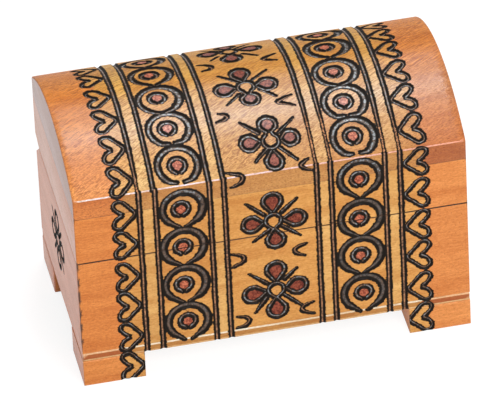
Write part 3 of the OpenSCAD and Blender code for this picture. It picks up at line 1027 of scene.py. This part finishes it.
def rounded_copy(node, body, materials, arris=PLAIN_ARRIS, stained=shows_outside):
    """A copy of a plain board with softened arrises."""
    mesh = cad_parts[node].data.copy()
    mesh.name = "dressed_" + node
    mesh.materials.clear()
    bm = bmesh.new()
    bm.from_mesh(mesh)
    bmesh.ops.remove_doubles(bm, verts=bm.verts, dist=TINY)
    bmesh.ops.dissolve_limit(bm, angle_limit=math.radians(1), verts=bm.verts, edges=bm.edges)
    bmesh.ops.recalc_face_normals(bm, faces=bm.faces)
    bm.normal_update()
    bmesh.ops.bevel(
        bm, geom=[edge for edge in bm.edges if is_arris(edge)], offset=arris * MM, segments=2,
        profile=0.6, affect="EDGES", clamp_overlap=True, material=-1,
    )
    bm.to_mesh(mesh)
    bm.free()
    for polygon in mesh.polygons:
        polygon.material_index = 0 if stained(polygon) else RAW
        if abs(polygon.center.x / MM) > half_l - NEAR_SIDE:
            polygon.material_index = ENDS if len(materials) > ENDS else 0
    mesh.polygons.foreach_set("use_smooth", [True] * len(mesh.polygons))
    mesh.set_sharp_from_angle(angle=SHARP)
    finish_piece(add_object("dressed_" + node, mesh), node, body, materials)


# Materials

class Graph:
    """The nodes of a material or world, made and linked in short calls."""

    def __init__(self, owner):
        self.owner = owner
        owner.use_nodes = True
        self.nodes = owner.node_tree.nodes
        self.links = owner.node_tree.links

    def node(self, kind, inputs, **settings):
        made = self.nodes.new("ShaderNode" + kind)
        for key, value in settings.items():
            setattr(made, key, value)
        self.fill(made, inputs)
        return made

    def fill(self, node, inputs):
        """Links a node's inputs or sets them."""
        for key, value in inputs.items():
            socket = node.inputs[key]
            if isinstance(value, bpy.types.NodeSocket):
                self.links.new(value, socket)
            elif socket.type == "RGBA" and len(value) == 3:
                socket.default_value = (*value, 1)
            else:
                socket.default_value = value

    def shader(self, inputs):
        self.fill(self.nodes["Principled BSDF"], inputs)
        return self.owner

    def attribute(self, name):
        return self.node("Attribute", {}, attribute_name=name).outputs

    def math(self, operation, *values, clamp=False):
        return self.node("Math", dict(enumerate(values)), operation=operation, use_clamp=clamp).outputs[0]

    def times(self, a, b):
        return self.math("MULTIPLY", a, b)

    def plus(self, a, b, share=1.0):
        """Adds a share of b to a."""
        return self.math("MULTIPLY_ADD", b, share, a)

    def mix(self, factor, a, b, blend="MIX"):
        inputs = {"Factor": factor, "A": a, "B": b}
        return self.node("Mix", inputs, data_type="RGBA", blend_type=blend).outputs["Result"]

    def tint(self, colour, factors):
        return self.mix(1.0, colour, factors, "MULTIPLY")

    def mix_value(self, factor, a, b):
        return self.node("Mix", {"Factor": factor, "A": a, "B": b}, data_type="FLOAT").outputs["Result"]

    def map(self, value, low, high, to_low=0.0, to_high=1.0, kind="SMOOTHSTEP"):
        inputs = {"Value": value, "From Min": low, "From Max": high, "To Min": to_low, "To Max": to_high}
        return self.node("MapRange", inputs, interpolation_type=kind).outputs["Result"]

    def place(self):
        return self.node("TexCoord", {}).outputs["Object"]

    def xyz(self):
        return self.node("SeparateXYZ", {"Vector": self.place()}).outputs

    def noise(self, scale, detail=2.0, rough=0.5, distortion=0.0, turn=0):
        """Noise over object coordinates in millimetres, turned about Z in degrees and then scaled."""
        scale = [MM / v for v in np.broadcast_to(scale, 3)]
        inputs = {"Vector": self.place(), "Scale": scale, "Rotation": (0, 0, math.radians(turn))}
        place = self.node("Mapping", inputs, vector_type="TEXTURE").outputs["Vector"]
        return self.node("TexNoise", {
            "Vector": place, "Scale": 1, "Detail": detail, "Roughness": rough, "Distortion": distortion,
        }).outputs["Fac"]

    def bump(self, height, distance, strength):
        inputs = {"Height": height, "Distance": distance, "Strength": strength}
        return self.node("Bump", inputs).outputs["Normal"]


def along(axis, length, across):
    """Scale of a noise that is drawn out along one axis, as features in millimetres."""
    return [1 / length if i == axis else 1 / across for i in range(3)]


# Factors on the stain: deeper, paler and dark wood, a groove's floor, and worn or thick red paint
DEEP = (0.78, 0.62, 0.46)
PALE = (1.14, 1.24, 1.5)
DARK = (0.52, 0.38, 0.28)
GROOVE_DARK = (0.2, 0.18, 0.17)
GROOVE_PALE = (1.6, 1.6, 1.65)
PAINT_THICK = (0.5, 0.36, 0.36)
PAINT_WORN = (1.55, 2.1, 2.3)

CHAR = (0.007, 0.004, 0.002)
CHAR_ROUGHNESS = 0.75
CHAR_COAT = 0.05
FLOOR_ROUGHNESS = 0.35
FLOOR_COAT = 0.65
# Painted glints: pale grey in the groove floors' colour, under a real metallic reflection
PAINTED_GLINT = (0.3, 0.33, 0.35)
GLINT_METALLIC = 0.35
STREAK_TURN = 32
STAIN_SPECULAR = 0.15
COAT_ROUGHNESS = 0.22


def stained_wood(name, axis, carved=True, colour=ORANGE[0], flare=0.0, calm=0.15, shine=1.0):
    """Stained, varnished wood with its grain along one axis, and burnt grooves where it is carved.

    Flare is the strength of slanted streaks, calm is how far the grain fades, and shine is how much
    varnish there is.
    """
    g = Graph(bpy.data.materials.new(name))
    fibre = g.noise(along(axis, 7, 0.35), 3, 0.6)
    band = g.noise(along(axis, 60, 5.5), 2, 0.5, 0.4)
    blotch = g.noise(along(axis, 16, 8), 3, 0.6)
    mottle = g.noise(along(axis, 1.6, 0.7), 3, 0.7)
    dashes = g.map(g.noise(along(axis, 1.1, 0.22), 1), 0.58 - 0.06 * flare, 0.72 - 0.06 * flare)
    specks = g.map(g.noise(along(axis, 0.8, 0.45), 1), 0.66, 0.76)
    if carved:
        stain = g.attribute("stain")["Color"]
        gloss = g.attribute("stain")["Alpha"]
    else:
        stain = g.nodes.new("ShaderNodeRGB").outputs[0]
        stain.default_value = (*colour, 1)
    deep, pale, dark = (g.tint(stain, factors) for factors in (DEEP, PALE, DARK))
    tone = g.plus(g.plus(g.times(band, 0.35), fibre, 0.25), mottle, 0.4)
    wood = g.mix(g.map(tone, 0.4, 0.6, kind="LINEAR"), deep, pale)
    wood = g.mix(calm, wood, stain)
    wood = g.mix(g.map(blotch, 0.48, 0.7, 0, 0.35), wood, deep)
    wood = g.mix(g.times(dashes, 0.6 + 0.2 * flare), wood, dark)
    wood = g.mix(g.times(specks, 0.6), wood, dark)
    rough = g.map(mottle, 0.3, 0.7, 0.42, 0.55)
    coat = g.map(dashes, 0, 1, 0.45, 0.25)
    height = g.plus(g.times(mottle, 0.8), dashes, -0.6)
    if flare > 0:
        depth = g.xyz()["Y"]
        over_front = g.map(depth, (0.3 - half_d) * MM, (3 - half_d) * MM, 0.3, 1.0)
        streaks = g.noise(along(axis, 7, 0.55), 3, 0.65, 0.3, STREAK_TURN)
        patch = g.times(g.map(g.noise(along(axis, 28, 17), 1), 0.38, 0.58, 0.5 * flare, flare), over_front)
        wood = g.mix(g.times(g.map(streaks, 0.5, 0.64), patch), wood, dark)
        wood = g.mix(g.times(g.map(streaks, 0.48, 0.36), patch), wood, pale)
        height = g.plus(height, g.map(streaks, 0.4, 0.62), -1.7)
    if carved:
        mark = g.attribute("cut")["Fac"]
        teeth = g.map(g.noise((0.45, 1.35, 1.35), 1), 0.46, 0.6)
        fine = g.noise(3.1)
        ragged = g.plus(g.plus(mark, teeth, -0.27), fine, 0.1)
        burnt = g.map(ragged, 0.22, 0.08)
        floor = g.map(g.plus(mark, fine, 0.3), -1.12, -1.7)
        streak = g.map(g.noise(0.9, 3, 0.7, 1.2), 0.38, 0.64)
        groove = g.mix(streak, g.tint(stain, GROOVE_DARK), g.tint(stain, GROOVE_PALE))
        glint = g.times(g.map(g.noise(0.8, 2, 0.6), 0.47, 0.6), g.map(mark, -1.25, -1.65))
        red = g.node("SeparateColor", {"Color": stain}).outputs["Red"]
        glint = g.times(glint, g.map(red, 0.25, 0.12))
        glint = g.times(glint, g.map(red, 0.11, 0.145, 0.75 if flare > 0 else 0.12, 1))
        # Painted glints in the groove floors' colour
        groove = g.mix(glint, groove, PAINTED_GLINT)
        blots = g.map(g.noise(0.85, 4, 0.8), 0.4, 0.62)
        paint = g.mix(blots, g.tint(stain, PAINT_THICK), g.tint(stain, PAINT_WORN))
        wood = g.mix(g.map(gloss, PAINT_GLOSS + 0.3, PAINT_GLOSS), wood, paint)
        wood = g.mix(g.map(mark, 0.6, 0.1, 0, 0.25), wood, dark)
        wood = g.mix(burnt, wood, CHAR)
        wood = g.mix(floor, wood, groove)
        rough = g.mix_value(floor, g.mix_value(burnt, rough, CHAR_ROUGHNESS), FLOOR_ROUGHNESS)
        coat = g.times(coat, g.map(gloss, PAINT_GLOSS, 1, 0.8 if flare > 0 else PAINT_GLOSS, 1))
        coat = g.mix_value(floor, g.mix_value(burnt, coat, CHAR_COAT), 1.0 if flare > 0 else FLOOR_COAT)
        height = g.plus(height, g.times(burnt, fine), 1.6)
        height = g.plus(height, g.times(floor, streak), 1.2)
        g.shader({"Metallic": g.times(g.times(glint, floor), GLINT_METALLIC)})
    if flare > 0:
        coat = g.math("MULTIPLY", coat, g.map(depth, -0.001, 0.01, 1.5, 0.15), clamp=True)
    return g.shader({
        "Base Color": wood, "Roughness": rough, "Coat Weight": g.times(coat, shine),
        "Normal": g.bump(height, 0.00012, 0.6), "Specular IOR Level": STAIN_SPECULAR * shine,
        "Coat Roughness": COAT_ROUGHNESS,
    })


RAW_DARK = (0.5, 0.31, 0.15)
RAW_PALE = (0.66, 0.46, 0.26)
RAW_PORE = (0.3, 0.17, 0.08)
RAW_STAINED = (0.055, 0.022, 0.009)


def raw_wood(name, axis):
    """Pale unfinished wood inside the chest, stained where varnish ran in from the outside."""
    g = Graph(bpy.data.materials.new(name))
    fibre = g.noise(along(axis, 12, 0.3), 3, 0.6)
    band = g.noise(along(axis, 90, 4.5), 2, 0.5, 0.5)
    pores = g.map(g.noise(along(axis, 1.6, 0.16), 1), 0.64, 0.72)
    tone = g.plus(g.times(band, 0.6), fibre, 0.4)
    wood = g.mix(g.map(tone, 0.36, 0.64), RAW_DARK, RAW_PALE)
    wood = g.mix(g.times(pores, 0.4), wood, RAW_PORE)
    place = g.xyz()
    ragged = g.times(g.noise(0.5), 0.0012)
    for side, half in (("X", half_l), ("Y", half_d)):
        out = g.plus(g.math("ABSOLUTE", place[side]), ragged)
        wood = g.mix(g.map(out, (half - 1.3) * MM, (half - 0.5) * MM), wood, RAW_STAINED)
    return g.shader({
        "Base Color": wood, "Roughness": g.map(fibre, 0.3, 0.7, 0.55, 0.72), "IOR": 1.45,
        "Normal": g.bump(g.plus(fibre, pores, -0.6), 0.0001, 0.6),
    })


def brass(name, colour, roughness, axis):
    """Brass with fine drawn or rolled lines and a little tarnish."""
    g = Graph(bpy.data.materials.new(name))
    lines = g.noise(along(axis, 14, 0.1))
    cloud = g.noise(0.35, 3, 0.6)
    dark = (0.55 * colour[0], 0.55 * colour[1], 0.45 * colour[2])
    metal = g.mix(g.map(cloud, 0.5, 0.8, 0, 0.55), colour, dark)
    return g.shader({
        "Base Color": g.mix(g.times(lines, 0.25), metal, dark), "Metallic": 1.0,
        "Roughness": g.map(cloud, 0.3, 0.75, roughness, roughness + 0.2),
        "Normal": g.bump(lines, 0.00002, 0.5),
    })


# Camera

IMAGE_W = 500
SENSOR_W = 36.0
# From the fit to the photograph, in degrees, pixels and millimetres
AZIMUTH = -10.2492
ELEVATION = 36.9164
ROLL = -2.8496
FOCAL_PX = 7978.6
DISTANCE = 3200.0
AIM_Z = 45
SIDE_SHIFT = -9.768
UP_SHIFT = 25.846


def make_camera():
    azimuth, elevation, roll = (math.radians(angle) for angle in (AZIMUTH, ELEVATION, ROLL))
    flat = math.cos(elevation)
    back = Vector((math.sin(azimuth) * flat, -math.cos(azimuth) * flat, math.sin(elevation)))
    level_right = (-back).cross(Vector((0, 0, 1))).normalized()
    level_up = level_right.cross(-back)
    right = math.cos(roll) * level_right + math.sin(roll) * level_up
    up = math.cos(roll) * level_up - math.sin(roll) * level_right
    place = Vector((0, -half_d, AIM_Z)) + SIDE_SHIFT * right + UP_SHIFT * up + DISTANCE * back
    data = bpy.data.cameras.new("camera")
    data.sensor_width = SENSOR_W
    data.sensor_fit = "HORIZONTAL"
    data.lens = FOCAL_PX * SENSOR_W / IMAGE_W
    data.clip_start = 0.1
    data.clip_end = 50
    camera = add_object("camera", data)
    axes = Matrix((right, up, back)).transposed().to_4x4()
    camera.matrix_world = Matrix.Translation(place * MM) @ axes
    bpy.context.scene.camera = camera


# Light and stage

AMBIENT = 0.25
FLOOR_SIZE = 6.0
FLOOR_LIT_SHADE = 0.8
FLOOR_SHADE = 0.25
FLOOR_GLOW = 0.85
WHITE = (1, 1, 1)


def seen_directly(g):
    """1 for camera, glossy and transmission rays, 0 for light that falls on the object."""
    rays = g.node("LightPath", {}).outputs
    total = rays["Is Camera Ray"]
    for name in ("Is Glossy Ray", "Is Transmission Ray"):
        total = g.math("ADD", total, rays[name], clamp=True)
    return total


def make_world():
    world = bpy.data.worlds.new("white_room")
    bpy.context.scene.world = world
    g = Graph(world)
    strength = g.map(seen_directly(g), 0, 1, AMBIENT, 1.0, kind="LINEAR")
    g.fill(g.nodes["Background"], {"Color": WHITE, "Strength": strength})


def make_floor():
    mesh = bpy.data.meshes.new("studio_floor")
    corners = [(x * FLOOR_SIZE, y * FLOOR_SIZE, 0) for x, y in ((-1, -1), (1, -1), (1, 1), (-1, 1))]
    mesh.from_pydata(corners, [], [(0, 1, 2, 3)])
    g = Graph(bpy.data.materials.new("pale_floor"))
    seen = seen_directly(g)
    mesh.materials.append(g.shader({
        "Roughness": 1.0, "Specular IOR Level": 0.0, "Emission Color": WHITE,
        "Base Color": g.map(seen, 0, 1, FLOOR_LIT_SHADE, FLOOR_SHADE, kind="LINEAR"),
        "Emission Strength": g.times(seen, FLOOR_GLOW),
    }))
    add_object("studio_floor", mesh)


LIT_POINT = Vector((0, 0, 0.06))


def area_light(name, direction, distance, width, level, height):
    """A soft light. Level is its brightness, where 1 is white."""
    direction = Vector(direction).normalized()
    data = bpy.data.lights.new(name, "AREA")
    data.shape = "RECTANGLE"
    data.size = width
    data.size_y = height
    data.energy = level * math.pi * width * height
    light = add_object(name, data)
    light.location = LIT_POINT + direction * distance
    light.rotation_euler = direction.to_track_quat("Z", "Y").to_euler()


# A row of lights over the chest, as degrees behind upright and level
TOP_LIGHTS = ((-10, 3), (0, 3.5), (10, 5), (19, 7.5), (27, 10.5), (37, 4), (47, 3))
TOP_LIGHTS_SIDE = 0.142
# Single lights: the way to each, its distance, width, level and height
LIGHTS = {
    "front_light": ((0.1, -0.8, 0.6), 1.6, 0.9, 7.2, 0.9),
    "key_light": ((0.14, -0.6, 0.79), 1.5, 0.12, 20.0, 0.12),
    "side_light": ((0.75, 0.15, 0.65), 1.4, 0.08, 8.0, 1.2),
}


def make_lights():
    for degrees, level in TOP_LIGHTS:
        back = math.radians(degrees)
        area_light("top_light", (TOP_LIGHTS_SIDE, math.sin(back), math.cos(back)), 1.3, 0.26, level, 0.26)
    for name, values in LIGHTS.items():
        area_light(name, *values)


# Putting it together

bpy.context.scene.view_settings.view_transform = "Standard"
make_camera()
make_world()
make_floor()
make_lights()

carve_lines()
carve_rings()
carve_hearts()
for flower in FLOWERS:
    carve_flower(flower, *flower[0], painted=True)
carve_curls()
chest_segments = segments_so_far()

board_wood = stained_wood("board_wood", 0)
plank_wood = stained_wood("plank_wood", 0, flare=1.0)
foot_wood = stained_wood("foot_wood", 0)
floor_wood = stained_wood("floor_wood", 0)
end_wood = stained_wood("end_wood", 1, calm=0.5)
plain_board_wood = stained_wood("plain_board_wood", 0, False)
# The ends' colours carry painted sheen
base_end_wood = stained_wood("base_end_wood", 1, False, BASE_END_AND_SHEEN, calm=0.5)
lid_end_wood = stained_wood("lid_end_wood", 1, False, LID_END_AND_SHEEN, calm=0.6)
plank_end_wood = stained_wood("plank_end_wood", 1, False, PLANK_END_AND_SHEEN, calm=0.6)
# The front feet's inner sides, with painted light in their colour
foot_side_wood = stained_wood("foot_side_wood", 1, False, FOOT_INNER_PAINTED_LIGHT, shine=0.4)
raw_board = raw_wood("raw_board", 0)
raw_end = raw_wood("raw_end", 1)

make_front_piece(
    "carved_front_board", "base_front_board", "base", "board_wood", (SEAM_R, ARRIS_R, PARTING_R, ARRIS_R),
    (board_wood, raw_board, base_end_wood), chipped=True, shades=(1, 1, PARTING_SHADE, 1),
)
make_front_piece(
    "carved_lid_rail", "lid_front_rail", "lid", "board_wood", (PARTING_R, ARRIS_R, SEAM_R, ARRIS_R),
    (board_wood, raw_board, lid_end_wood), shades=(PARTING_SHADE, 1, SEAM_SHADE, 1),
)
make_plank((plank_wood, raw_board, plank_end_wood))
make_front_piece(
    "carved_floor_board", "floor_board", "base", "floor_wood", FLOOR_ARRISES,
    (floor_wood, raw_board, base_end_wood), (RAW, ENDS, RAW, ENDS), rows=floor_rows,
)
foot_woods = (foot_wood, raw_board, base_end_wood, foot_side_wood)
for node, right, left in (("foot_front_left", INNER, ENDS), ("foot_front_right", ENDS, INNER)):
    make_front_piece(
        "carved_" + node, node, "base", "foot_wood", FOOT_ARRISES, foot_woods, (RAW, right, 0, left),
    )
for node in ("base_left_end", "base_right_end"):
    make_base_end(node, (end_wood, raw_end))

back_woods = (plain_board_wood, raw_board, base_end_wood)
for node in ("foot_back_left", "foot_back_right"):
    rounded_copy(node, "base", back_woods, BACK_FOOT_ARRIS, above_ground)
rounded_copy("base_back_board", "base", back_woods)
rounded_copy("lid_back_rail", "lid", (plain_board_wood, raw_board, lid_end_wood))
for node in ("lid_left_end", "lid_right_end"):
    rounded_copy(node, "lid", (lid_end_wood, raw_end))

metals = {
    "leaf": brass("leaf_brass", (0.74, 0.53, 0.22), 0.28, 0),
    "pin": brass("pin_brass", (0.66, 0.47, 0.2), 0.34, 0),
    "nails": brass("nail_brass", (0.72, 0.51, 0.22), 0.22, 1),
}
for node_name, node_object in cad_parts.items():
    if "hinge" in node_name:
        node_object.data.materials.clear()
        node_object.data.materials.append(metals[node_name.split("_")[-1]])
